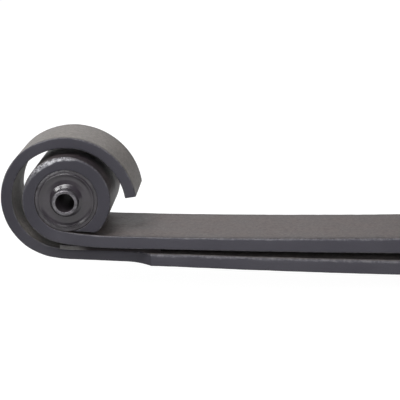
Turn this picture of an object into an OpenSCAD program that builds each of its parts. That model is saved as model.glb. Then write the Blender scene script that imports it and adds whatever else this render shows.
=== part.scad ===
// Two-leaf taper spring: an eyed main leaf over a second leaf that wraps loosely round the front eye.
// Millimetres. X runs from the front eye to the rear eye, Y is across the leaves, Z is up.
// The origin is on the centre bolt's axis, in the lower seat face of the second leaf.

/* [Leaves] */
// Distance between the two eye axes
eye_span = 1270; // [1100:10:1500]
// Width of both leaves
leaf_w = 101.6; // [80:0.1:110]
// Length of the flat clamping seat, where the leaves have their full thickness
seat_len = 180; // [150:5:220]
// Main leaf thickness at the seat
main_seat_t = 19.5; // [16:0.5:22]
// Main leaf thickness at the eyes
main_tip_t = 13.2; // [12:0.1:14]
// Second leaf thickness at the seat
second_seat_t = 17; // [15:0.5:20]
// Second leaf thickness at the ends of its taper
second_tip_t = 13.6; // [12.5:0.1:14]
// Distance from an eye axis at which the taper ends
taper_end = 115; // [100:5:130]
// Gap between the leaves at the seat
seat_gap = 10; // [8:0.5:12]
// Gap between the leaves at their ends
tip_gap = 4.9; // [4.8:0.1:6]
// Radius of the leaves' upward curve outside the seat
camber_r = 10900; // [9000:100:16000]

/* [Eyes] */
// Radius of the rolled eye's bore
eye_bore_r = 32.5; // [32:0.1:32.7]
// Distance from the eye axis back to where the leaf starts to bend into the eye
eye_join = 46; // [42:1:52]
// Angle of the easy bend between the leaf and the eye's roll
eye_turn = 8.8; // [7:0.1:10]
// Angle through which the eye has turned where its rolled end stops
roll_end = 348.5; // [347:0.5:349]
// Distance from the eye axis to the flat ground on the rolled end
scarf_drop = 31.15; // [31.15:0.05:31.5]
// Slope of that flat
scarf_tilt = 6.9; // [6.8:0.1:7.5]
// Radius of the rounded corner behind that flat
scarf_round = 9; // [7:0.5:10]

/* [Wrap] */
// Thickness of the wrap
wrap_t = 11.8; // [11:0.1:12.5]
// Width of the narrowed wrap
wrap_w = 76.2; // [70:0.1:80]
// Distance from the eye axis at which the wrap starts to widen
shoulder_start = 56; // [54:1:60]
// Distance from the eye axis at which the second leaf has its full width
shoulder_end = 84.5; // [84:0.5:95]
// Distance that the wrap's lower centre lies ahead of the eye axis
wrap_back = 6.25; // [5:0.05:7]
// Distance from the wrap's lower centre back to where it starts to bend
wrap_join = 9.7; // [8:0.1:11]
// Angle of the easy bend between the second leaf and the wrap
wrap_turn = 8.35; // [7.5:0.05:9]
// Middle radius of the wrap below the eye
wrap_low_r = 57.8; // [57.2:0.1:59]
// Middle radius of the wrap above the eye
wrap_high_r = 67.3; // [66:0.1:69]
// Angle at which the wrap opens to its upper radius
wrap_switch = 152; // [147:1:156]
// Angle through which the wrap has turned at its end
wrap_end = 262.8; // [256:0.1:265]

/* [Second leaf rear end] */
// Distance from the centre bolt to the second leaf's rear end
second_rear = 575; // [540:5:580]
// Size of the clipped corners at that end
corner_trim = 22; // [15:1:30]

/* [Liners and spacer] */
// Thickness of the liners between the leaf ends
liner_t = 4.75; // [3:0.05:4.75]
// Width of the liners
liner_w = 87; // [80:1:95]
// Steps of the easy bend that the front liner follows up into the wrap
liner_bend_steps = 3; // [1:1:4]
// Distance from the front eye axis to the front liner's inner end
liner_front_end = 95; // [85:1:110]
// Length of the rear liner
liner_rear_len = 95; // [70:5:120]
// Distance that the rear liner stops short of the second leaf's end
liner_rear_inset = 5; // [3:1:15]
// Length of the spacer at the seat
spacer_len = 150; // [120:5:170]

/* [Bushings] */
// Length of the outer sleeves
can_len = 99; // [90:1:101]
// Wall of the outer sleeves
can_wall = 3.2; // [2:0.1:4]
// Chamfer on the ends of the sleeves
sleeve_chamfer = 0.8; // [0.5:0.1:1]
// Length of the inner sleeves
inner_len = 120.6; // [110:0.1:130]
// Outer radius of the inner sleeves
inner_r = 13.5; // [12.5:0.1:14]
// Bore radius of the inner sleeves
inner_bore_r = 9.75; // [8:0.05:10.5]
// Radial running clearance between an inner sleeve and its rubber
inner_play = 0.05; // [0.03:0.01:0.08]
// Height that the rubber's collar reaches out of the eye on each side
rubber_collar = 5; // [2:0.5:6]
// Depth of the hollow in the rubber's ends, below the leaf's edge
rubber_hollow = 2.5; // [2:0.5:8]
// Radius at which the collar meets the hollow
rubber_collar_foot = 18; // [17:0.5:21]
// Radius at which the hollow starts to rise to the rim
rubber_hollow_r = 22; // [22:0.5:25]
// Outer radius of the rim
rubber_rim_r = 28; // [27:0.1:28.5]
// Height of the rim above the hollow
rubber_rim = 2.5; // [2:0.5:5]
// Depth of the step outside the rim
rubber_step = 1.5; // [1:0.5:2.5]

/* [Centre bolt] */
// Radius of the centre bolt
centre_bolt_r = 6.35; // [5:0.05:8]
// Radius of the bolt's round locating head
centre_head_r = 12.7; // [11:0.1:16]
// Height of that head
centre_head_h = 12.7; // [8:0.1:16]
// Depth of the spot faces that the head and the nut stand in
spot_depth = 0.5; // [0.3:0.1:1]
// Height of the centre nut
centre_nut_h = 11; // [9:0.5:13]

/* [Rebound clips] */
// Distance from the centre bolt to each clip
clip_x = 260; // [230:5:285]
// Width of a clip strap
strap_w = 38; // [32:1:44]
// Thickness of a clip strap
strap_t = 6; // [5:0.5:8]
// Gap between a strap and the leaf's edges
strap_play = 1.2; // [1:0.1:3]
// Height of the clip bolt's axis above the second leaf's lower face
clip_bolt_h = 55; // [54:1:62]
// Radius of the clip bolts
clip_bolt_r = 6; // [5:0.5:7]
// Height of the clip bolts' heads
clip_head_h = 7.5; // [6:0.5:9]
// Height of the clip nuts
clip_nut_h = 10; // [8:0.5:12]
// Outer radius of the spacer tubes on the clip bolts
tube_r = 10; // [9:0.5:11]
// Radius of the clip rivets
rivet_r = 5; // [4:0.5:6]
// Radius of the rivet heads
rivet_head_r = 9.5; // [8:0.5:11]

/* [Hidden] */
$fn = 96;

steel = [0.29, 0.29, 0.32];
pale_steel = [0.55, 0.55, 0.57];
rubber = [0.16, 0.15, 0.17];

eye_x = eye_span / 2;
seat_half = seat_len / 2;
wrap_start_x = -(eye_x + wrap_back - wrap_join);
wrap_taper_x = -(eye_x - taper_end);
taper_len = eye_x - seat_half - taper_end;
main_seat_mid = second_seat_t + seat_gap + main_seat_t / 2;
strap_out = leaf_w / 2 + strap_play + strap_t; // from the middle plane to a strap's outer face
leaf_steps = 20; // straight facets from the seat to a leaf's end
leaf_top = main_seat_mid + main_seat_t / 2;
cut = 0.5; // how far a cutting shape runs past the face it opens
fit_gap = 0.05; // gap between faces that lie together
bolt_clearance = 0.25; // radial clearance of a bolt in its hole
hex_sides = 6;
hex_ratio = 1.8; // corner radius of a nut or hex head over its bolt's radius
hex_slope = 0.5; // rise over run of the cone that turns back a hexagon's corners
bolt_tail = 4.5; // how far a bolt's thread stands out of its nut
spot_margin = 0.5; // gap round a head or nut in its spot face
collar_flat = 0.5; // width of the flat on top of the rubber's collar

// Leaf thicknesses and heights at a distance x along the spring.
function reach(x) = max(0, abs(x) - seat_half);
function taper(x) = min(1, reach(x) / taper_len);
function main_t(x) = main_seat_t - (main_seat_t - main_tip_t) * taper(x);
function wrap_taper(x) = max(0, (x - wrap_taper_x) / (wrap_start_x - wrap_taper_x));
function second_t(x) =
  second_seat_t - (second_seat_t - second_tip_t) * taper(x) - (second_tip_t - wrap_t) * wrap_taper(x);
function leaf_gap(x) = seat_gap - (seat_gap - tip_gap) * taper(x);
function main_mid(x) = main_seat_mid + reach(x) * reach(x) / (2 * camber_r);
function main_top(x) = main_mid(x) + main_t(x) / 2;
function main_bottom(x) = main_mid(x) - main_t(x) / 2;
function second_top(x) = main_bottom(x) - leaf_gap(x);
function second_bottom(x) = second_top(x) - second_t(x);
function second_mid(x) = second_top(x) - second_t(x) / 2;
function leaf_slope(x) = atan(reach(x) / camber_r);

// A leaf that bends up into a roll: heading h is 0 along the leaf, 90 straight up, 180 back over the top.
function inward(h) = [sin(h), cos(h)];
function bend_r(join, r, h, turn) = (join + r * sin(h + turn)) / (sin(h + turn) - sin(h));

eye_mid_r = eye_bore_r + main_tip_t / 2;
eye_out_r = eye_bore_r + main_tip_t;
eye_start = [-(eye_x - eye_join), main_mid(eye_x - eye_join)];
eye_h = leaf_slope(eye_start[0]);
eye_bend_r = bend_r(eye_join, eye_mid_r, eye_h, eye_turn);
eye_bend_c = eye_start + inward(eye_h) * eye_bend_r;
eye_c = eye_bend_c - inward(eye_h + eye_turn) * (eye_bend_r - eye_mid_r);
eye_z = eye_c[1];

wrap_start = [wrap_start_x, second_mid(wrap_start_x)];
wrap_h = leaf_slope(wrap_start_x);
wrap_bend_r = bend_r(wrap_join, wrap_low_r, wrap_h, wrap_turn);
wrap_bend_c = wrap_start + inward(wrap_h) * wrap_bend_r;
wrap_low_c = wrap_bend_c - inward(wrap_h + wrap_turn) * (wrap_bend_r - wrap_low_r);
wrap_high_c = wrap_low_c + inward(wrap_switch) * (wrap_high_r - wrap_low_r);

shoulder_run = shoulder_end - shoulder_start;
shoulder_rise = (leaf_w - wrap_w) / 2;
shoulder_r = (shoulder_run * shoulder_run + shoulder_rise * shoulder_rise) / (2 * shoulder_rise);

// Stations along a leaf from x = a to x = b.
function stations(a, b) = [for (i = [0 : leaf_steps]) a + (b - a) * i / leaf_steps];
function flip(points) = [for (p = points) [-p[0], p[1]]];
function reverse(points) = [for (i = [len(points) - 1 : -1 : 0]) points[i]];
// Points on an arc of radius r about c from heading h1 to h2, in n steps.
function arc(c, r, h1, h2, n) = [for (i = [0 : n]) c - inward(h1 + (h2 - h1) * i / n) * r];

eye_steps = 60; // facets round an eye
bend_steps = 4; // facets on the easy bend before a roll
eye_roll_h = eye_h + eye_turn;
// The eye's facets touch a bushing of the bore's radius and don't cut into it.
facet_r = eye_bore_r / cos((roll_end - eye_roll_h) / eye_steps / 2);

// The rolled end's flat and its rounded corner, in axes turned with the flat.
function on_scarf(u, v) = eye_c + [u * cos(scarf_tilt) + v * sin(scarf_tilt), -u * sin(scarf_tilt) + v * cos(scarf_tilt)];
tip_u = -facet_r * sin(roll_end - scarf_tilt);
corner_r = eye_out_r - scarf_round;
corner_v = scarf_round - scarf_drop;
corner_u = sqrt(corner_r * corner_r - corner_v * corner_v);
corner_a = atan2(corner_v, corner_u);
corner_steps = 8;
corner_arc = [
  for (i = [0 : corner_steps])
    let (a = -90 + (corner_a + 90) * i / corner_steps)
    on_scarf(corner_u + scarf_round * cos(a), corner_v + scarf_round * sin(a))
];
outer_end_h = 270 - corner_a + scarf_tilt;

// The eye's outer and inner faces, from the rolled end to where the leaf runs straight.
eye_outer = concat(
  [on_scarf(tip_u, -scarf_drop)],
  corner_arc,
  arc(eye_c, eye_out_r, outer_end_h - 3, eye_roll_h, eye_steps),
  arc(eye_bend_c, eye_bend_r + main_tip_t / 2, eye_roll_h - eye_turn / bend_steps, eye_h, bend_steps - 1)
);
eye_inner = concat(
  arc(eye_c, facet_r, roll_end, eye_roll_h, eye_steps),
  arc(eye_bend_c, eye_bend_r - main_tip_t / 2, eye_roll_h - eye_turn / bend_steps, eye_h, bend_steps - 1)
);

// The wrap's outer and inner faces, from its end to where the second leaf runs straight.
wrap_steps = 28;
wrap_roll_h = wrap_h + wrap_turn;
function wrap_face(off) = concat(
  arc(wrap_high_c, wrap_high_r + off, wrap_end, wrap_switch, wrap_steps),
  arc(wrap_low_c, wrap_low_r + off, wrap_switch - 5, wrap_roll_h, wrap_steps),
  arc(wrap_bend_c, wrap_bend_r + off, wrap_roll_h - wrap_turn / bend_steps, wrap_h, bend_steps - 1)
);
wrap_outer = wrap_face(wrap_t / 2);
wrap_inner = wrap_face(-wrap_t / 2);

// Stands a drawn side view up in the X-Z plane, w wide and centred on Y.
module across(w) {
  rotate([90, 0, 0])
    linear_extrude(height = w, center = true)
      children();
}

module main_leaf_2d() {
  straight_x = -eye_start[0] - 2;
  xs = concat(stations(-straight_x, -seat_half), stations(seat_half, straight_x));
  top = [for (x = xs) [x, main_top(x)]];
  bottom = [for (x = xs) [x, main_bottom(x)]];
  polygon(concat(
    eye_outer,
    bottom,
    reverse(flip(eye_outer)),
    flip(eye_inner),
    reverse(top),
    reverse(eye_inner)
  ));
}

module main_leaf() {
  color(steel)
    difference() {
      across(leaf_w)
        main_leaf_2d();
      cylinder(r = centre_bolt_r + bolt_clearance, h = leaf_top + cut);
      translate([0, 0, leaf_top - spot_depth])
        cylinder(r = centre_bolt_r * hex_ratio + spot_margin, h = spot_depth + cut);
    }
}

module second_leaf_2d() {
  xs = concat(stations(wrap_start_x + 2, -seat_half), stations(seat_half, second_rear));
  top = [for (x = xs) [x, second_top(x)]];
  bottom = [for (x = xs) [x, second_bottom(x)]];
  polygon(concat(wrap_outer, bottom, reverse(top), reverse(wrap_inner)));
}

// What is cut away beside the wrap: straight along its sides and beside its upper end, then a hollow curve
// out to the full width.
module shoulder_cut() {
  start_x = -(eye_x - shoulder_start);
  side_len = 200;
  tall = 400;
  translate([start_x - side_len, wrap_w / 2, -tall / 2])
    cube([side_len, side_len, tall]);
  translate([start_x - cut, wrap_w / 2, eye_z - eye_bore_r])
    cube([side_len, side_len, tall]);
  intersection() {
    translate([start_x, wrap_w / 2 + shoulder_r, -tall / 2])
      cylinder(r = shoulder_r, h = tall);
    translate([start_x - 1, wrap_w / 2, -tall / 2])
      cube([shoulder_run + 1 + cut, shoulder_rise + cut, tall]);
  }
}

module corner_cut() {
  side = corner_trim * 2;
  tall = 200;
  translate([second_rear, leaf_w / 2, 0])
    rotate(45)
      cube([corner_trim * sqrt(2), side * 2, tall], center = true);
}

module wrapper_leaf() {
  color(steel)
    difference() {
      across(leaf_w)
        second_leaf_2d();
      shoulder_cut();
      mirror([0, 1, 0])
        shoulder_cut();
      corner_cut();
      mirror([0, 1, 0])
        corner_cut();
      translate([0, 0, -cut])
        cylinder(r = centre_bolt_r + bolt_clearance, h = second_seat_t + 2 * cut);
      translate([0, 0, -cut])
        cylinder(r = centre_head_r + spot_margin, h = spot_depth + cut);
      for (side = [-1, 1])
        at_clip(side)
          translate([0, 0, -cut])
            cylinder(r = rivet_r + fit_gap, h = second_seat_t + 2 * cut);
    }
}

// A liner strip lying on the second leaf between the stations xs, with more points ahead of each face.
module liner_2d(xs, top_start = [], bottom_start = []) {
  polygon(concat(
    top_start,
    [for (x = xs) [x, second_top(x) + fit_gap + liner_t]],
    reverse([for (x = xs) [x, second_top(x) + fit_gap]]),
    reverse(bottom_start)
  ));
}

module front_tip_liner() {
  lie_r = wrap_bend_r - wrap_t / 2 - fit_gap;
  h_step = wrap_turn / bend_steps;
  h = wrap_h + h_step * liner_bend_steps;
  color(pale_steel)
    across(liner_w)
      liner_2d(
        stations(wrap_start_x + 2, -(eye_x - liner_front_end)),
        arc(wrap_bend_c, lie_r - liner_t, h, wrap_h, liner_bend_steps),
        arc(wrap_bend_c, lie_r, h, wrap_h, liner_bend_steps)
      );
}

module rear_tip_liner() {
  b = second_rear - liner_rear_inset;
  color(pale_steel)
    across(liner_w)
      liner_2d(stations(b - liner_rear_len, b));
}

module centre_spacer() {
  color(steel)
    difference() {
      translate([-spacer_len / 2, -leaf_w / 2, second_seat_t])
        cube([spacer_len, leaf_w, seat_gap]);
      cylinder(r = centre_bolt_r + bolt_clearance, h = leaf_top);
    }
}

module centre_bolt() {
  end_z = leaf_top + centre_nut_h + bolt_tail;
  edge = 1.2;
  color(pale_steel)
    rotate_extrude()
      polygon([
        [0, -centre_head_h],
        [centre_head_r - edge, -centre_head_h],
        [centre_head_r, -centre_head_h + edge],
        [centre_head_r, 0],
        [centre_head_r - spot_margin, 0],
        [centre_head_r - spot_margin, spot_depth],
        [centre_bolt_r, spot_depth],
        [centre_bolt_r, end_z - edge],
        [centre_bolt_r - edge, end_z],
        [0, end_z]
      ]);
}

// A hex nut standing on z = 0, with its corners turned back to a cone at both ends.
module hex_nut(bolt_r, h) {
  corner_r = bolt_r * hex_ratio;
  flat_r = corner_r * cos(180 / hex_sides);
  drop = (corner_r - flat_r) * hex_slope;
  difference() {
    intersection() {
      cylinder(r = corner_r, h = h, $fn = hex_sides);
      rotate_extrude()
        polygon([[0, 0], [flat_r, 0], [corner_r, drop], [corner_r, h - drop], [flat_r, h], [0, h]]);
    }
    translate([0, 0, -cut])
      cylinder(r = bolt_r + fit_gap, h = h + 2 * cut);
  }
}

module centre_nut() {
  color(pale_steel)
    translate([0, 0, leaf_top - spot_depth])
      hex_nut(centre_bolt_r, centre_nut_h);
}

// Places a bushing piece on the front eye's axis (side -1) or the rear eye's (side 1).
module at_eye(side) {
  translate([side * eye_x, 0, eye_z])
    rotate([90, 0, 0])
      children();
}

module bush_outer_sleeve(side) {
  r_in = eye_bore_r - can_wall;
  half = can_len / 2;
  c = sleeve_chamfer;
  color(pale_steel)
    at_eye(side)
      rotate_extrude()
        polygon([
          [r_in, -half], [eye_bore_r - c, -half], [eye_bore_r, -half + c],
          [eye_bore_r, half - c], [eye_bore_r - c, half], [r_in, half]
        ]);
}

// Height of the rubber's end face at radius r: a collar at the sleeve, a hollow, and a rim short of the can.
function rubber_face(r) =
  let (
    top_r = inner_r + collar_flat,
    low = leaf_w / 2 - rubber_hollow,
    fall = (r - top_r) / (rubber_collar_foot - top_r),
    rise = (r - rubber_hollow_r) / (rubber_rim_r - rubber_hollow_r)
  )
  r <= top_r ? leaf_w / 2 + rubber_collar :
  r < rubber_collar_foot ? low + (rubber_hollow + rubber_collar) * (1 + cos(180 * fall)) / 2 :
  r < rubber_hollow_r ? low :
  r < rubber_rim_r ? low + rubber_rim * (1 - cos(90 * rise)) :
  low + rubber_rim - rubber_step;

module bush_rubber(side) {
  r_in = inner_r + inner_play;
  r_out = eye_bore_r - can_wall;
  rings = 16;
  rs = [for (i = [0 : rings]) r_in + (r_out - r_in) * i / rings];
  color(rubber)
    at_eye(side)
      rotate_extrude()
        polygon(concat(
          [for (r = rs) [r, rubber_face(r)]],
          [for (i = [0 : rings]) [rs[rings - i], -rubber_face(rs[rings - i])]]
        ));
}

module bush_inner_sleeve(side) {
  half = inner_len / 2;
  c = sleeve_chamfer;
  color(pale_steel)
    at_eye(side)
      rotate_extrude()
        polygon([
          [inner_bore_r, -half], [inner_r - c, -half], [inner_r, -half + c],
          [inner_r, half - c], [inner_r - c, half], [inner_bore_r, half]
        ]);
}

// Stands a clip piece on the second leaf's lower face, square to it.
module at_clip(side) {
  x = side * clip_x;
  slope = atan((second_bottom(clip_x + 1) - second_bottom(clip_x - 1)) / 2);
  translate([x, 0, second_bottom(x)])
    rotate([0, -side * slope, 0])
      children();
}

module clip_strap(side) {
  inner_y = strap_out - strap_t;
  color(steel)
    at_clip(side)
      difference() {
        union() {
          translate([-strap_w / 2, -strap_out, -strap_t - fit_gap])
            cube([strap_w, 2 * strap_out, strap_t]);
          for (edge = [-1, 1])
            translate([0, edge * (inner_y + strap_t / 2), 0])
              rotate([90, 0, 0])
                linear_extrude(height = strap_t, center = true)
                  union() {
                    translate([-strap_w / 2, -strap_t - fit_gap])
                      square([strap_w, clip_bolt_h + strap_t + fit_gap]);
                    translate([0, clip_bolt_h])
                      circle(strap_w / 2);
                  }
        }
        translate([0, 0, clip_bolt_h])
          rotate([90, 0, 0])
            cylinder(r = clip_bolt_r + bolt_clearance, h = 2 * leaf_w, center = true);
        translate([0, 0, -strap_t - cut])
          cylinder(r = rivet_r + fit_gap, h = strap_t + 2 * cut);
      }
}

module clip_rivet(side) {
  head_h = 5;
  top_h = 2.5;
  edge = 2;
  bottom = -strap_t - fit_gap;
  top = second_t(clip_x) + 0.15;
  color(pale_steel)
    at_clip(side)
      rotate_extrude()
        polygon([
          [0, bottom - head_h],
          [rivet_head_r - edge - 1, bottom - head_h],
          [rivet_head_r, bottom - edge],
          [rivet_head_r, bottom],
          [rivet_r, bottom],
          [rivet_r, top],
          [rivet_head_r, top],
          [rivet_head_r - edge, top + top_h],
          [0, top + top_h]
        ]);
}

// Places a piece on a clip bolt's axis, with its own Z pointing to -Y.
module at_clip_bolt(side) {
  at_clip(side)
    translate([0, 0, clip_bolt_h])
      rotate([90, 0, 0])
        children();
}

module clip_bolt(side) {
  corner_r = clip_bolt_r * hex_ratio;
  flat_r = corner_r * cos(180 / hex_sides);
  drop = (corner_r - flat_r) * hex_slope;
  color(pale_steel)
    at_clip_bolt(side)
      union() {
        translate([0, 0, strap_out])
          intersection() {
            cylinder(r = corner_r, h = clip_head_h, $fn = hex_sides);
            rotate_extrude()
              polygon([[0, 0], [corner_r, 0], [corner_r, clip_head_h - drop], [flat_r, clip_head_h], [0, clip_head_h]]);
          }
        translate([0, 0, -strap_out - clip_nut_h - bolt_tail])
          cylinder(r = clip_bolt_r, h = 2 * strap_out + clip_nut_h + bolt_tail + cut);
      }
}

module clip_spacer_tube(side) {
  len_y = leaf_w + 2 * strap_play - 2 * fit_gap;
  color(pale_steel)
    at_clip_bolt(side)
      difference() {
        cylinder(r = tube_r, h = len_y, center = true);
        cylinder(r = clip_bolt_r + bolt_clearance, h = len_y + 2 * cut, center = true);
      }
}

module clip_nut(side) {
  color(pale_steel)
    at_clip_bolt(side)
      translate([0, 0, -strap_out - clip_nut_h])
        hex_nut(clip_bolt_r, clip_nut_h);
}

main_leaf();
wrapper_leaf();
front_tip_liner();
rear_tip_liner();
centre_spacer();
centre_bolt();
centre_nut();
bush_outer_sleeve(-1);  // front_bush_outer_sleeve
bush_rubber(-1);  // front_bush_rubber
bush_inner_sleeve(-1);  // front_bush_inner_sleeve
bush_outer_sleeve(1);  // rear_bush_outer_sleeve
bush_rubber(1);  // rear_bush_rubber
bush_inner_sleeve(1);  // rear_bush_inner_sleeve
clip_strap(-1);  // front_clip_strap
clip_rivet(-1);  // front_clip_rivet
clip_bolt(-1);  // front_clip_bolt
clip_spacer_tube(-1);  // front_clip_spacer_tube
clip_nut(-1);  // front_clip_nut
clip_strap(1);  // rear_clip_strap
clip_rivet(1);  // rear_clip_rivet
clip_bolt(1);  // rear_clip_bolt
clip_spacer_tube(1);  // rear_clip_spacer_tube
clip_nut(1);  // rear_clip_nut
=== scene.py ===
"""The looks of a two-leaf taper spring: swept leaves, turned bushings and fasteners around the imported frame."""

import math

import bpy
from mathutils import Matrix, Vector, noise


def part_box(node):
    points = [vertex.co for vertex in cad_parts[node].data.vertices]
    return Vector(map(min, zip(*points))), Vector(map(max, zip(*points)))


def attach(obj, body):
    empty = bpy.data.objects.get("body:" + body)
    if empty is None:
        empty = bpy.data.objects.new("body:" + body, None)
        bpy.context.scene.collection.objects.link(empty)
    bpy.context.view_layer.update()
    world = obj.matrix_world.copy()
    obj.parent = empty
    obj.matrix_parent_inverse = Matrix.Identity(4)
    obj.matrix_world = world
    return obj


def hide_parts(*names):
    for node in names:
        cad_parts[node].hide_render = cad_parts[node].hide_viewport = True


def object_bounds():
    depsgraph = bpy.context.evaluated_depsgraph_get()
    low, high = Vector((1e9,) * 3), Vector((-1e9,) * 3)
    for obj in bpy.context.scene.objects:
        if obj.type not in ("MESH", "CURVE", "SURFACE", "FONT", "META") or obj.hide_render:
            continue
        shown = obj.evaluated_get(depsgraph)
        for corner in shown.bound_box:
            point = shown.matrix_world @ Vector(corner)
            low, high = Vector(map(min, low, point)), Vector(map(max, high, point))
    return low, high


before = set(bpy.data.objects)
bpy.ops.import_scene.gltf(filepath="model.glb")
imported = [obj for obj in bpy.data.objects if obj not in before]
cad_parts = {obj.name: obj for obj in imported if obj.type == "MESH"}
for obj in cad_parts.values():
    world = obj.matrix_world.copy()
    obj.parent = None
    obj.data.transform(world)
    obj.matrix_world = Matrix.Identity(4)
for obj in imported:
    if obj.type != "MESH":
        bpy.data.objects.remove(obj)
cad_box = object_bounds()

MM = 0.001
ROOT = "spring_pack"

# ---------------------------------------------------------------- dimensions, mm, as in the solids
LEAF_W = 101.6
WRAP_W = 76.2
SEAT_HALF = 90.0
MAIN_T = (19.5, 13.2)
SECOND_T = (17.0, 13.6)
WRAP_T = 11.8
GAP = (10.0, 4.9)
CAMBER_R = 10900.0
TAPER_END = 115.0
EYE_R = 32.5
EYE_JOIN, EYE_TURN = 46.0, 8.8
ROLL_END = 348.5
SCARF_DROP, SCARF_TILT, SCARF_ROUND = 31.15, 6.9, 9.0
WRAP_BACK, WRAP_JOIN, WRAP_TURN = 6.25, 9.7, 8.35
WRAP_LOW_R, WRAP_HIGH_R, WRAP_SWITCH, WRAP_END = 57.8, 67.3, 152.0, 262.8
SHOULDER = (56.0, 84.5)
REAR_END, CORNER_TRIM = 575.0, 22.0
LINER_T, LINER_W, FIT_GAP = 4.75, 87.0, 0.05

sleeve_lo, sleeve_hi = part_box("front_bush_inner_sleeve")
EYE_X = -(sleeve_lo.x + sleeve_hi.x) / 2 / MM
EYE_Z = (sleeve_lo.z + sleeve_hi.z) / 2 / MM
INNER_LEN = (sleeve_hi.y - sleeve_lo.y) / MM
INNER_R = (sleeve_hi.x - sleeve_lo.x) / 2 / MM
TAPER_LEN = EYE_X - SEAT_HALF - TAPER_END
WRAP_START = -(EYE_X + WRAP_BACK - WRAP_JOIN)
WRAP_TAPER = -(EYE_X - TAPER_END)
MID_SEAT = SECOND_T[0] + GAP[0] + MAIN_T[0] / 2


def sin(a):
    return math.sin(math.radians(a))


def cos(a):
    return math.cos(math.radians(a))


def reach(x):
    return max(0.0, abs(x) - SEAT_HALF)


def tapered(pair, x):
    return pair[0] - (pair[0] - pair[1]) * min(1.0, reach(x) / TAPER_LEN)


def main_mid(x):
    return MID_SEAT + reach(x) ** 2 / (2 * CAMBER_R)


def second_top(x):
    return main_mid(x) - tapered(MAIN_T, x) / 2 - tapered(GAP, x)


def second_t(x):
    """Thickness of the second leaf, which thins again from the end of its taper to the wrap."""
    thin = max(0.0, (x - WRAP_TAPER) / (WRAP_START - WRAP_TAPER))
    return tapered(SECOND_T, x) - (SECOND_T[1] - WRAP_T) * thin


def second_mid(x):
    return second_top(x) - second_t(x) / 2


def slope(x):
    return math.degrees(math.atan(reach(x) / CAMBER_R))


def on_arc(c, r, h):
    """The point at heading h on a roll: 0 is under its centre, 90 ahead of it, 180 above it."""
    return (c[0] - sin(h) * r, c[1] - cos(h) * r)


def bend(join_x, join_z, join, r, h, turn):
    """Radius and centre of the easy bend before a roll of radius r, and the roll's own centre."""
    br = (join + r * sin(h + turn)) / (sin(h + turn) - sin(h))
    bc = (join_x + sin(h) * br, join_z + cos(h) * br)
    return br, bc, (bc[0] - sin(h + turn) * (br - r), bc[1] - cos(h + turn) * (br - r))


EYE_MID_R = EYE_R + MAIN_T[1] / 2
EYE_OUT_R = EYE_R + MAIN_T[1]
EYE_START = -(EYE_X - EYE_JOIN)
EYE_H = slope(EYE_START)
EYE_BEND_R, EYE_BEND_C, EYE_C = bend(EYE_START, main_mid(EYE_START), EYE_JOIN, EYE_MID_R, EYE_H, EYE_TURN)
WRAP_H = slope(WRAP_START)
WRAP_BEND_R, WRAP_BEND_C, WRAP_LOW_C = bend(
    WRAP_START, second_mid(WRAP_START), WRAP_JOIN, WRAP_LOW_R, WRAP_H, WRAP_TURN)
WRAP_HIGH_C = (WRAP_LOW_C[0] + sin(WRAP_SWITCH) * (WRAP_HIGH_R - WRAP_LOW_R),
               WRAP_LOW_C[1] + cos(WRAP_SWITCH) * (WRAP_HIGH_R - WRAP_LOW_R))


def span(a, b, step):
    """Values from a to b about a step apart, both ends in."""
    n = max(1, round(abs(b - a) / step))
    return [a + (b - a) * i / n for i in range(n + 1)]


def ring(inner, outer, half_w, corner=1.6, wear_and_glint=0.0, inner_corner=None, painted_shade=(0.0, 0.0, 0.0)):
    """One section of a bar, with how worn its outer edges are (which also places a painted highlight on them) and
    painted shade for its inner, outer and narrow faces.
    """
    return {"in": inner, "out": outer, "hw": half_w, "corner": corner, "wear_and_glint": wear_and_glint,
            "inner_corner": corner if inner_corner is None else inner_corner, "painted_shade": painted_shade}


def bump_at(h, middle, width):
    return math.exp(-((h - middle) / width) ** 2)


def flip(r):
    return dict(r, **{"in": (-r["in"][0], r["in"][1]), "out": (-r["out"][0], r["out"][1])})


def scarfed_r(h):
    """Outer radius of the eye at heading h near its end, which is ground flat with a rounded corner."""
    a = 270 - h + SCARF_TILT
    cr = EYE_OUT_R - SCARF_ROUND
    cv = SCARF_ROUND - SCARF_DROP
    cu = math.sqrt(cr * cr - cv * cv)
    if a > math.degrees(math.atan2(cv, cu)) or a < -90:
        return EYE_OUT_R
    if a < math.degrees(math.atan2(-SCARF_DROP, cu)):
        return SCARF_DROP / -sin(a)
    along = cu * cos(a) + cv * sin(a)
    return along + math.sqrt(along * along - cr * cr + SCARF_ROUND ** 2)


def main_rings():
    front = []
    for h in span(ROLL_END, 308, 0.9) + span(306, EYE_H + EYE_TURN, 2.4):
        top = bump_at(h, 162, 48)
        # Painted shade: the eye's bore face, its outer face under the wrap and its front and back faces are darkened.
        # The bump at heading 160 wears the outer corners nearly flat and marks a painted highlight on them at the
        # eye's upper left.
        painted_shade = (0.5, bump_at(h, 208, 62), min(1.0, max(0.0, (h - 15) / 50)) * (0.45 - 0.15 * bump_at(h, 290, 50)))
        front.append(ring(on_arc(EYE_C, EYE_R, h), on_arc(EYE_C, scarfed_r(h), h), LEAF_W / 2,
                          1.8 + 3.7 * top, bump_at(h, 160, 34), 0.7, painted_shade))
    for h in span(EYE_H + EYE_TURN, EYE_H, 0.9)[1:]:
        front.append(ring(on_arc(EYE_BEND_C, EYE_BEND_R - MAIN_T[1] / 2, h),
                          on_arc(EYE_BEND_C, EYE_BEND_R + MAIN_T[1] / 2, h), LEAF_W / 2))
    flat = []
    for x in span(EYE_START + 4, -SEAT_HALF, 6) + span(-SEAT_HALF, SEAT_HALF, 10)[1:-1] + span(SEAT_HALF, -EYE_START - 4, 6):
        t = tapered(MAIN_T, x) / 2
        soft = 1.6 + 1.4 * min(1.0, max(0.0, (EYE_X - abs(x) - 60) / 200))
        flat.append(ring((x, main_mid(x) + t), (x, main_mid(x) - t), LEAF_W / 2, 1.6, 0.0, soft))
    return front + flat + [flip(r) for r in reversed(front)]


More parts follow.
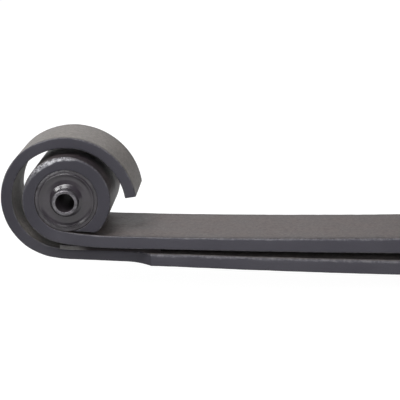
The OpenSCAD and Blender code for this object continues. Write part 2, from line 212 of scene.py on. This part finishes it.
def shoulder_w(x_local):
    """Half width of the second leaf at a distance behind the front eye: the wrap, a hollow curve, the full leaf."""
    a, b = SHOULDER
    rise = (LEAF_W - WRAP_W) / 2
    r = ((b - a) ** 2 + rise ** 2) / (2 * rise)
    if x_local <= a:
        return WRAP_W / 2
    if x_local >= b:
        return LEAF_W / 2
    return WRAP_W / 2 + r - math.sqrt(r * r - (x_local - a) ** 2)


def wrapper_rings():
    out = []
    half = WRAP_T / 2
    for c, r, hs in ((WRAP_HIGH_C, WRAP_HIGH_R, span(WRAP_END, WRAP_SWITCH, 1.8)),
                     (WRAP_LOW_C, WRAP_LOW_R, span(WRAP_SWITCH, WRAP_H + WRAP_TURN, 2.2)[1:]),
                     (WRAP_BEND_C, WRAP_BEND_R, span(WRAP_H + WRAP_TURN, WRAP_H, 1.0)[1:])):
        for h in hs:
            # Painted shade: the wrap's inner face darkens from its left over the top to its right end, and its front
            # and back faces are darkened too.
            inside_shade = 0.1 + 0.9 * min(1.0, max(0.0, (h - 105) / 45))
            side = 0.2 + 0.3 * bump_at(h, 95, 40) if h > 95 else 0.5 * min(1.0, max(0.0, (h - 20) / 50))
            out.append(ring(on_arc(c, r - half, h), on_arc(c, r + half, h), WRAP_W / 2, 1.5, 0.0, 1.5,
                            (inside_shade, 0.0, side)))
    edge_a, edge_b = -EYE_X + SHOULDER[0], -EYE_X + SHOULDER[1]
    xs = span(WRAP_START + 3, edge_a, 4) + span(edge_a, edge_b, 1.6)[1:] + span(edge_b + 0.7, -SEAT_HALF, 6)
    xs += span(-SEAT_HALF, SEAT_HALF, 10)[1:-1] + span(SEAT_HALF, REAR_END - CORNER_TRIM, 6)
    xs += span(REAR_END - CORNER_TRIM, REAR_END, 3)[1:]
    for x in xs:
        top = second_top(x)
        hw = shoulder_w(x + EYE_X)
        if x > REAR_END - CORNER_TRIM:
            hw -= x - (REAR_END - CORNER_TRIM)
        worn = min(1.0, max(0.0, (x + EYE_X - SHOULDER[0]) / 30))
        # Painted shade: the second leaf's top face, in the gap under the main leaf, and the narrow faces of the
        # shoulder's hollow curve, more toward its full-width end.
        into = (x + EYE_X - SHOULDER[0]) / (SHOULDER[1] - SHOULDER[0])
        shade_amount = 0.55 * into ** 2 if 0 < into <= 1 else 0.0
        out.append(ring((x, top), (x, top - second_t(x)), hw, 1.5, 0.0, 1.5 + 1.9 * worn, (0.7, 0.0, shade_amount)))
    return out


def liner_rings(x0, x1, into_bend):
    out = []
    if into_bend:
        lie = WRAP_BEND_R - WRAP_T / 2 - FIT_GAP
        for h in span(WRAP_H + into_bend, WRAP_H, 1.0):
            out.append(ring(on_arc(WRAP_BEND_C, lie - LINER_T, h), on_arc(WRAP_BEND_C, lie, h), LINER_W / 2, 0.8))
        x0 += 3
    for x in span(x0, x1, 4):
        low = second_top(x) + FIT_GAP
        # Painted shade along the liner in the gap between the leaves, none near its end at the eye.
        shade_amount = 0.85 * min(1.0, max(0.0, (EYE_X - abs(x) - 6) / 14))
        out.append(ring((x, low + LINER_T), (x, low), LINER_W / 2, 0.8, painted_shade=(shade_amount, shade_amount, shade_amount)))
    return out


# ---------------------------------------------------------------- mesh code
def section(hw, t, r_in, r_out, worn=0.0, wide=22, thick=4, arc=6):
    """A bar section with rounded corners, as (y, v, edge, side, rim) points.

    worn turns the outer corners from round to nearly a chamfer. edge is 1 on the corners, side is 1 on the narrow faces, and rim is 1 where a wide face meets a corner."""
    pts = []
    for k, (sy, sv, start) in enumerate(((1, 1, 0), (-1, 1, 90), (-1, -1, 180), (1, -1, 270))):
        r = min(r_in if sv > 0 else r_out, 0.42 * t, 0.42 * hw)
        cy, cv = sy * (hw - r), sv * (t / 2 - r)
        k_worn = 1.0 if sv > 0 else 1 + 0.7 * worn
        for i in range(arc + 1):
            ang = start + 90 * i / arc
            pts.append((cy + sy * r * abs(cos(ang)) ** k_worn, cv + sv * r * abs(sin(ang)) ** k_worn,
                        math.sin(math.pi * i / arc), abs(cos(ang)),
                        (1 - abs(cos(ang))) ** 3))
        if k % 2 == 0:
            for i in range(1, wide):
                m = 0.3 - 0.3 * math.cos(math.pi * i / wide) + 0.4 * i / wide
                pts.append((cy - 2 * cy * m, sv * t / 2, 0.0, 0.0, max(0.0, 1 - 0.35 * min(i, wide - i))))
        else:
            r2 = min(r_out if sv > 0 else r_in, 0.42 * t, 0.42 * hw)
            end = -sv * (t / 2 - r2)
            pts += [(sy * hw, cv + (end - cv) * i / thick, 0.0, 1.0, 0.0) for i in range(1, thick)]
    return pts


def wobble(p, amount, scale):
    return amount * noise.noise(Vector(p) * scale)


def sweep(name, rings, end_round=(1.2, 1.2), rough=0.12):
    """A bar swept through rings, with rounded edges and ends, and attributes for its material: edge, side, rim, the
    worn corners' painted highlight and the painted shade.
    """
    lay = []
    first, last = rings[0], rings[-1]
    for at, nxt, size, order in ((first, rings[1], end_round[0], 1), (last, rings[-2], end_round[1], -1)):
        if not size:
            continue
        extra = []
        dx = [at["in"][i] + at["out"][i] - nxt["in"][i] - nxt["out"][i] for i in (0, 1)]
        length = math.hypot(*dx)
        go = (dx[0] / length, dx[1] / length)
        for k in range(4):
            a = 90 * k / 4
            back, inset = size * (1 - cos(90 - a)), size * (1 - sin(90 - (90 - a)))
            extra.append((back, inset, go))
        lay.append((order, extra, at))
    rows = []
    for r in rings:
        rows.append((r, 0.0, 0.0, (0, 0)))
    for order, extra, at in lay:
        new = [(at, inset, -back, go) for back, inset, go in extra]
        if order == 1:
            rows = new + rows[1:]
        else:
            rows = rows[:-1] + list(reversed(new))
    verts, edge, side, wear_and_glint, rim, painted_shade = [], [], [], [], [], []
    n = 0
    for r, inset, back, go in rows:
        (xi, zi), (xo, zo) = r["in"], r["out"]
        t = math.hypot(xi - xo, zi - zo)
        e = ((xi - xo) / t, (zi - zo) / t)
        mx, mz = (xi + xo) / 2 + go[0] * back, (zi + zo) / 2 + go[1] * back
        inset = min(inset, 0.35 * t)
        wav = 1 + 0.45 * noise.noise(Vector((mx, mz, 3.0)) * 0.045) + 0.3 * noise.noise(Vector((mx, mz, 9.0)) * 0.16)
        pts = section(r["hw"] - inset, t - 2 * inset, max(0.25, r["inner_corner"] * wav), max(0.25, r["corner"] * wav),
                      r["wear_and_glint"])
        n = len(pts)
        for y, v, ed, sd, rm in pts:
            p = (mx + e[0] * v, y, mz + e[1] * v)
            off = rough * (0.5 + 0.5 * noise.noise(Vector(p) * 0.03)) + 0.3 * rough * (0.5 + 0.5 * noise.noise(Vector(p) * 0.11))
            sy, sv = (off if sd > 0.5 else 0.0), (off if sd <= 0.5 else 0.0)
            y -= math.copysign(min(sy, abs(y)), y)
            v -= math.copysign(min(sv, abs(v)), v)
            verts.append(((mx + e[0] * v) * MM, y * MM, (mz + e[1] * v) * MM))
            edge.append(ed)
            side.append(sd)
            wear_and_glint.append(r["wear_and_glint"] if v < 0 else 0.0)
            rim.append(rm)
            wide = r["painted_shade"][0] if v > 0 else r["painted_shade"][1]
            painted_shade.append(wide + (r["painted_shade"][2] - wide) * sd)
    faces = []
    for j in range(len(rows) - 1):
        for i in range(n):
            k = (i + 1) % n
            faces.append((j * n + i, j * n + k, (j + 1) * n + k, (j + 1) * n + i))
    faces.append(tuple(range(n)))
    faces.append(tuple((len(rows) - 1) * n + i for i in reversed(range(n))))
    ob = make(name, verts, faces, angle=28)
    for key, vals in (("edge", edge), ("side", side), ("wear_and_glint", wear_and_glint), ("rim", rim), ("painted_shade", painted_shade)):
        a = ob.data.attributes.new(key, "FLOAT", "POINT")
        a.data.foreach_set("value", vals)
    return ob


def make(name, verts, faces, angle=35):
    me = bpy.data.meshes.new(name)
    me.from_pydata(verts, [], faces)
    me.update()
    import bmesh
    bm = bmesh.new()
    bm.from_mesh(me)
    bmesh.ops.recalc_face_normals(bm, faces=bm.faces)
    bm.to_mesh(me)
    bm.free()
    me.shade_smooth()
    me.set_sharp_from_angle(angle=math.radians(angle))
    ob = bpy.data.objects.new(name, me)
    bpy.context.scene.collection.objects.link(ob)
    return ob


def rounded(corners, steps=5):
    """A closed outline from (u, v, radius) corners, each rounded by an arc of that radius."""
    out = []
    n = len(corners)
    for i, (u, v, r) in enumerate(corners):
        if r <= 0:
            out.append((u, v))
            continue
        p = Vector((u, v))
        a = (Vector(corners[i - 1][:2]) - p).normalized()
        b = (Vector(corners[(i + 1) % n][:2]) - p).normalized()
        half = a.angle(b) / 2
        back = r / math.tan(half)
        c = p + (a + b).normalized() * (r / math.sin(half))
        s, e = p + a * back - c, p + b * back - c
        turn = s.angle_signed(e)
        for k in range(steps + 1):
            q = s.copy()
            q.rotate(Matrix.Rotation(-turn * k / steps, 2))
            out.append((c.x + q.x, c.y + q.y))
    return out


def lathe(name, outline, centre, segments=160, rough=0.0, angle=35, worn=None, deep_shade=None):
    """A closed outline of (radius, along) in mm, turned about an axis along Y through centre."""
    n = len(outline)
    verts, faces = [], []
    for s in range(segments):
        a = 360 * s / segments
        for r, y in outline:
            d = rough * noise.noise(Vector((r * cos(a), y, r * sin(a))) * 0.35) if rough else 0.0
            verts.append((centre.x + (r - abs(d)) * cos(a) * MM, centre.y + y * MM, centre.z + (r - abs(d)) * sin(a) * MM))
    for s in range(segments):
        t = (s + 1) % segments
        for i in range(n):
            k = (i + 1) % n
            faces.append((s * n + i, s * n + k, t * n + k, t * n + i))
    ob = make(name, verts, faces, angle=angle)
    # The edge attribute takes the worn rule, and the painted shade attribute takes the shade rule.
    for key, rule in (("edge", worn), ("painted_shade", deep_shade)):
        mark = ob.data.attributes.new(key, "FLOAT", "POINT")
        mark.data.foreach_set("value", [rule(r, y, 360 * s / segments) if rule else 0.0
                                        for s in range(segments) for r, y in outline])
    return ob


# ---------------------------------------------------------------- materials
def new_material(name):
    m = bpy.data.materials.new(name)
    m.use_nodes = True
    nt = m.node_tree
    nt.nodes.clear()
    out = nt.nodes.new("ShaderNodeOutputMaterial")
    bsdf = nt.nodes.new("ShaderNodeBsdfPrincipled")
    nt.links.new(bsdf.outputs[0], out.inputs[0])
    return m, nt, bsdf


class Nodes:
    """Small helpers that add nodes to one material."""

    def __init__(self, nt):
        self.nt = nt
        self.coord = nt.nodes.new("ShaderNodeTexCoord")

    def put(self, socket, value):
        if isinstance(value, bpy.types.NodeSocket):
            self.nt.links.new(value, socket)
        else:
            socket.default_value = value

    def noise(self, scale, detail=4.0, rough=0.55, stretch=None, distortion=0.0):
        n = self.nt.nodes.new("ShaderNodeTexNoise")
        n.inputs["Scale"].default_value = scale
        n.inputs["Detail"].default_value = detail
        n.inputs["Roughness"].default_value = rough
        n.inputs["Distortion"].default_value = distortion
        src = self.coord.outputs["Object"]
        if stretch:
            mp = self.nt.nodes.new("ShaderNodeMapping")
            mp.inputs["Scale"].default_value = stretch
            self.nt.links.new(src, mp.inputs["Vector"])
            src = mp.outputs[0]
        self.nt.links.new(src, n.inputs["Vector"])
        return n.outputs["Fac"]

    def ramp(self, fac, lo, hi, a=0.0, b=1.0):
        r = self.nt.nodes.new("ShaderNodeMapRange")
        r.interpolation_type = "SMOOTHSTEP"
        self.put(r.inputs["Value"], fac)
        for key, v in (("From Min", lo), ("From Max", hi), ("To Min", a), ("To Max", b)):
            r.inputs[key].default_value = v
        return r.outputs[0]

    def math(self, op, a, b=0.0):
        m = self.nt.nodes.new("ShaderNodeMath")
        m.operation = op
        self.put(m.inputs[0], a)
        self.put(m.inputs[1], b)
        return m.outputs[0]

    def mix(self, fac, a, b):
        m = self.nt.nodes.new("ShaderNodeMix")
        m.data_type = "RGBA"
        self.put(m.inputs[0], fac)
        self.put(m.inputs[6], a)
        self.put(m.inputs[7], b)
        return m.outputs[2]

    def attr(self, name):
        a = self.nt.nodes.new("ShaderNodeAttribute")
        a.attribute_name = name
        return a.outputs["Fac"]

    def bump(self, height, strength, distance, normal=None):
        b = self.nt.nodes.new("ShaderNodeBump")
        b.inputs["Strength"].default_value = strength
        b.inputs["Distance"].default_value = distance
        self.put(b.inputs["Height"], height)
        if normal is not None:
            self.nt.links.new(normal, b.inputs["Normal"])
        return b.outputs[0]


def leaf_material(name, wide_a, wide_b, side_a, side_b):
    """Painted spring steel: brown-grey mottled wide faces, bluer smooth edges, lighter worn corners, painted shade
    where marked and a painted highlight on the eye's upper left corners.
    """
    m, nt, bsdf = new_material(name)
    n = Nodes(nt)
    mottle = n.noise(38, 5, 0.6)
    fine = n.noise(420, 3, 0.6)
    blotch = n.noise(11, 3, 0.5)
    wide = n.mix(n.ramp(mottle, 0.32, 0.7), wide_a, wide_b)
    wide = n.mix(n.ramp(fine, 0.45, 0.62, 0.0, 0.75), wide, wide_b)
    wide = n.mix(n.ramp(n.noise(260, 4, 0.7), 0.47, 0.62, 0.0, 0.8), wide, wide_a)
    sidec = n.mix(n.ramp(blotch, 0.35, 0.65), side_a, side_b)
    col = n.mix(n.ramp(n.attr("side"), 0.25, 0.75), wide, sidec)
    speck = n.noise(900, 2, 0.7)
    worn = n.math("MULTIPLY", n.attr("edge"), n.ramp(n.noise(230, 4, 0.7), 0.38, 0.66))
    # top marks a painted highlight: the worn outer corners at the eye's upper left.
    top = n.math("MULTIPLY", worn, n.ramp(n.attr("wear_and_glint"), 0.2, 0.9))
    # Painted shade: faces marked for shade are mixed toward a near-black in uneven patches and lose some of their
    # specular.
    deep_shade = n.mix(n.attr("side"), (0.024, 0.019, 0.024, 1), (0.034, 0.032, 0.041, 1))
    patchy_shade = n.math("MULTIPLY", n.attr("painted_shade"), n.ramp(n.noise(120, 5, 0.65), 0.25, 0.7, 0.75, 1.0))
    col = n.mix(patchy_shade, col, deep_shade)
    line = n.math("MULTIPLY", n.attr("rim"), n.ramp(n.noise(140, 4, 0.6), 0.3, 0.7, 0.35, 0.9))
    col = n.mix(line, col, (0.03, 0.028, 0.03, 1))
    col = n.mix(n.math("MULTIPLY", worn, 0.5), col, (0.2, 0.195, 0.205, 1))
    col = n.mix(n.math("MULTIPLY", top, 0.9), col, (0.66, 0.66, 0.69, 1))
    col = n.mix(n.ramp(speck, 0.66, 0.8, 0.0, 0.25), col, (0.02, 0.018, 0.018, 1))
    n.put(bsdf.inputs["Base Color"], col)
    rough = n.math("ADD", n.ramp(mottle, 0.3, 0.75, 0.50, 0.62), n.math("MULTIPLY", top, -0.18))
    n.put(bsdf.inputs["Roughness"], rough)
    bsdf.inputs["Metallic"].default_value = 0.0
    n.put(bsdf.inputs["Specular IOR Level"], n.math("SUBTRACT", 0.3, n.math("MULTIPLY", n.attr("painted_shade"), 0.25)))
    b1 = n.bump(n.noise(700, 3, 0.6), 0.25, 0.0004)
    b2 = n.bump(n.noise(90, 4, 0.6), 0.25, 0.0012, b1)
    n.put(bsdf.inputs["Normal"], b2)
    return m


def turned_material(name, dark, light, rough_lo, rough_hi, metal, rings=900.0):
    """Turned or coated steel with fine rings round the axis, darker stains, light worn spots (a painted highlight on
    the can's lip) and painted shade where marked.
    """
    m, nt, bsdf = new_material(name)
    n = Nodes(nt)
    stain = n.noise(60, 5, 0.6)
    fine = n.noise(rings, 3, 0.6)
    col = n.mix(n.ramp(stain, 0.3, 0.7), dark, light)
    col = n.mix(n.ramp(fine, 0.55, 0.8, 0.0, 0.4), col, light)
    # The edge attribute is wear at the sleeve ends and a painted highlight round the can's lip.
    worn = n.math("MULTIPLY", n.attr("edge"), n.ramp(n.noise(260, 4, 0.7), 0.36, 0.62))
    col = n.mix(n.math("MULTIPLY", worn, 0.8), col, (0.36, 0.35, 0.37, 1))
    # Painted shade: marked faces, such as the sleeve's bore, go near-black, rougher and less shiny.
    col = n.mix(n.attr("painted_shade"), col, (0.022, 0.016, 0.020, 1))
    n.put(bsdf.inputs["Base Color"], col)
    rough = n.ramp(stain, 0.25, 0.75, rough_lo, rough_hi)
    n.put(bsdf.inputs["Roughness"], n.math("ADD", rough, n.math("MULTIPLY", n.attr("painted_shade"), 0.4)))
    unshaded = n.math("SUBTRACT", 1.0, n.attr("painted_shade"))
    n.put(bsdf.inputs["Metallic"], n.math("MULTIPLY", unshaded, metal))
    n.put(bsdf.inputs["Specular IOR Level"], n.math("MULTIPLY", unshaded, 0.5))
    b1 = n.bump(fine, 0.2, 0.0003)
    n.put(bsdf.inputs["Normal"], n.bump(n.noise(160, 4, 0.6), 0.25, 0.0008, b1))
    return m


def rubber_material(name):
    """Smooth moulded rubber, dark and faintly purple, semi-gloss with soft uneven patches."""
    m, nt, bsdf = new_material(name)
    n = Nodes(nt)
    patch = n.noise(70, 4, 0.6)
    grain = n.noise(1500, 2, 0.5)
    col = n.mix(n.ramp(patch, 0.3, 0.7), (0.028, 0.023, 0.029, 1), (0.038, 0.032, 0.040, 1))
    col = n.mix(n.ramp(grain, 0.6, 0.8, 0.0, 0.3), col, (0.075, 0.07, 0.078, 1))
    n.put(bsdf.inputs["Base Color"], col)
    n.put(bsdf.inputs["Roughness"], n.ramp(patch, 0.25, 0.75, 0.17, 0.26))
    bsdf.inputs["Specular IOR Level"].default_value = 0.6
    n.put(bsdf.inputs["Normal"], n.bump(n.noise(240, 3, 0.5), 0.05, 0.0004))
    return m


MAT = {
    "main": leaf_material("main_leaf_paint", (0.075, 0.061, 0.059, 1), (0.135, 0.112, 0.107, 1),
                          (0.050, 0.047, 0.060, 1), (0.063, 0.060, 0.074, 1)),
    # The second leaf's wide faces are a lighter copy of the main leaf's paint, painting in the brighter sheen of light
    # on the wrap's top.
    "second": leaf_material("second_leaf_sheen_paint", (0.144, 0.129, 0.120, 1), (0.240, 0.219, 0.202, 1),
                            (0.050, 0.047, 0.060, 1), (0.064, 0.061, 0.074, 1)),
    "liner": turned_material("liner_steel", (0.10, 0.095, 0.092, 1), (0.20, 0.19, 0.185, 1), 0.45, 0.65, 0.0, 500.0),
    "can": turned_material("can_steel", (0.030, 0.027, 0.031, 1), (0.075, 0.069, 0.077, 1), 0.38, 0.55, 0.2),
    "sleeve": turned_material("sleeve_steel", (0.045, 0.04, 0.047, 1), (0.11, 0.105, 0.115, 1), 0.3, 0.45, 0.4),
    "rubber": rubber_material("bush_rubber"),
    "fastener": turned_material("fastener_steel", (0.045, 0.045, 0.05, 1), (0.11, 0.11, 0.118, 1), 0.35, 0.5, 0.4),
}


def finish_piece(ob, mat, body, slot, *nodes):
    ob.data.materials.clear()
    ob.data.materials.append(MAT[mat])
    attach(ob, body)
    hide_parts(*nodes)
    return ob


# ---------------------------------------------------------------- leaves and liners
finish_piece(sweep("main_leaf_bar", main_rings(), (0.3, 0.3)), "main", ROOT, "leaf_steel", "main_leaf")
finish_piece(sweep("wrapper_leaf_bar", wrapper_rings(), (1.6, 1.6)), "second", ROOT, "leaf_steel", "wrapper_leaf")
liner_lo, liner_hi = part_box("front_tip_liner")
finish_piece(sweep("front_liner_strip", liner_rings(WRAP_START, liner_hi.x / MM, 6.0), (0.8, 0.8), 0.05),
             "liner", ROOT, "liner_steel", "front_tip_liner")
liner_lo, liner_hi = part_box("rear_tip_liner")
finish_piece(sweep("rear_liner_strip", liner_rings(liner_lo.x / MM, liner_hi.x / MM, 0), (0.8, 0.8), 0.05),
             "liner", ROOT, "liner_steel", "rear_tip_liner")


# ---------------------------------------------------------------- bushings
BORE_R = 9.75
CAN_R = EYE_R - 3.2
HOLLOW = LEAF_W / 2 - 2.5


def can_lip_highlight(a):
    """Painted highlight round the can's lip, faint all round and most at its upper left, toward the light."""
    return 0.05 + 0.95 * max(0.0, cos(a - 118)) ** 4


def bushing(end):
    lo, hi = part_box(end + "_bush_inner_sleeve")
    c = (lo + hi) / 2
    half = INNER_LEN / 2
    sleeve = rounded([(BORE_R, -half, 0.5), (INNER_R, -half, 2.0), (INNER_R, half, 2.0), (BORE_R, half, 0.5)], 7)
    # The bore's wall is darkened with painted shade; the sleeve ends are worn.
    tube = lathe(end + "_bushing_inner_tube", sleeve, c, 
                 worn=lambda r, y, a: 0.5 if abs(y) > half - 0.4 else 0.0,
                 deep_shade=lambda r, y, a: 0.75 if r < BORE_R + 0.1 and abs(y) < half - 0.4 else 0.0)
    finish_piece(tube, "sleeve", end + "_inner_sleeve", "sleeve_steel", end + "_bush_inner_sleeve")
    # Collar, hollow, rim and step, from the inner sleeve out to the can.
    top = LEAF_W / 2 + 2.4
    face = [(INNER_R + 0.06, top, 0.2), (14.1, top, 0.4), (17.2, HOLLOW + 1.7, 2.0), (23.8, HOLLOW + 0.6, 9.0),
            (28.4, LEAF_W / 2 + 0.1, 0.6), (28.8, HOLLOW + 1.0, 0.2), (CAN_R, HOLLOW + 1.0, 0.0)]
    outline = rounded(face + [(r, -y, f) for r, y, f in reversed(face)], 9)
    rub = lathe(end + "_bushing_rubber", outline, c, 200, rough=0.02, angle=60)
    finish_piece(rub, "rubber", ROOT, "bush_rubber", end + "_bush_rubber")
    lo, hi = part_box(end + "_bush_outer_sleeve")
    half = (hi.y - lo.y) / 2 / MM
    can = rounded([(CAN_R, -half, 0.5), (EYE_R, -half, 0.6), (EYE_R, half, 0.6), (CAN_R, half, 0.5)])
    # The can's lip gets the painted highlight as its edge value.
    shell = lathe(end + "_bushing_can", can, c, 240, rough=0.35,
                  worn=lambda r, y, a: can_lip_highlight(a) if abs(y) > half - 0.5 and r > CAN_R + 0.6 else 0.0)
    finish_piece(shell, "can", ROOT, "sleeve_steel", end + "_bush_outer_sleeve")


bushing("front")
bushing("rear")

# ---------------------------------------------------------------- kept solids: edges and materials
for node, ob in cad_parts.items():
    if ob.hide_render:
        continue
    mat = "main" if node == "centre_spacer" or node.endswith("strap") else "fastener"
    ob.data.materials.clear()
    ob.data.materials.append(MAT[mat])
    bev = ob.modifiers.new("edge", "BEVEL")
    bev.width = 0.0007
    bev.segments = 2
    bev.limit_method = "ANGLE"
    bev.angle_limit = math.radians(40)

# ---------------------------------------------------------------- camera, floor and light
EYE_TILT = 1.87
LENS = 126.0
eye_front = Vector((-EYE_X * MM, -LEAF_W / 2 * MM, EYE_Z * MM))
lean = Matrix.Rotation(math.radians(EYE_TILT), 4, "Y")
look = Matrix.Rotation(math.radians(2.616), 4, "Z") @ Matrix.Rotation(math.radians(76.288), 4, "X")
cam_data = bpy.data.cameras.new("camera")
cam_data.lens = LENS
cam_data.sensor_width = 36
cam_data.clip_end = 100
cam = bpy.data.objects.new("camera", cam_data)
cam.matrix_world = Matrix.Translation(eye_front) @ lean @ Matrix.Translation((0.20080, -1.38549, 0.34107)) @ look
bpy.context.scene.collection.objects.link(cam)
bpy.context.scene.camera = cam

floor_z = cad_box[0].z
s = 30.0
floor = make("floor", [(-s, -s, floor_z), (s, -s, floor_z), (s, s, floor_z), (-s, s, floor_z)], [(0, 1, 2, 3)])
fm, fnt, fb = new_material("floor_white")
fb.inputs["Base Color"].default_value = (0.12, 0.12, 0.12, 1)
fb.inputs["Roughness"].default_value = 0.9
fb.inputs["Emission Color"].default_value = (1, 1, 1, 1)
fb.inputs["Emission Strength"].default_value = 0.96
floor.data.materials.append(fm)


def soft_light(name, loc, target, size, power):
    data = bpy.data.lights.new(name, "AREA")
    data.shape = "RECTANGLE"
    data.size, data.size_y = size
    data.energy = power
    ob = bpy.data.objects.new(name, data)
    ob.location = loc
    ob.rotation_euler = (Vector(target) - Vector(loc)).to_track_quat("-Z", "Y").to_euler()
    bpy.context.scene.collection.objects.link(ob)
    return ob


soft_light("key_light", (-1.05, -0.95, 2.1), (-0.5, 0, 0.1), (1.3, 1.0), 44)
fill = soft_light("front_light", (0.0, -1.5, 0.75), (-0.35, 0, 0.05), (0.9, 0.7), 11)
sheen = soft_light("back_light", (-1.5, 3.2, 1.4), (-0.6, 0, 0.1), (4.0, 2.4), 37)
sheen.visible_diffuse = False
fill.visible_glossy = False
glint = soft_light("left_glint", (-1.75, -1.3, 0.8), (-0.635, 0, 0.09), (0.6, 0.45), 5)
glint.visible_diffuse = False
strip = soft_light("top_strip", (-1.25, -0.6, 1.05), (-0.635, 0, 0.09), (2.4, 0.35), 28)
strip.visible_diffuse = False
floor.visible_diffuse = False

world = bpy.data.worlds.new("studio")
bpy.context.scene.world = world
world.use_nodes = True
bg = world.node_tree.nodes["Background"]
bg.inputs["Color"].default_value = (0.95, 0.97, 1.0, 1)
bg.inputs["Strength"].default_value = 0.12
bpy.context.scene.view_settings.view_transform = "Standard"
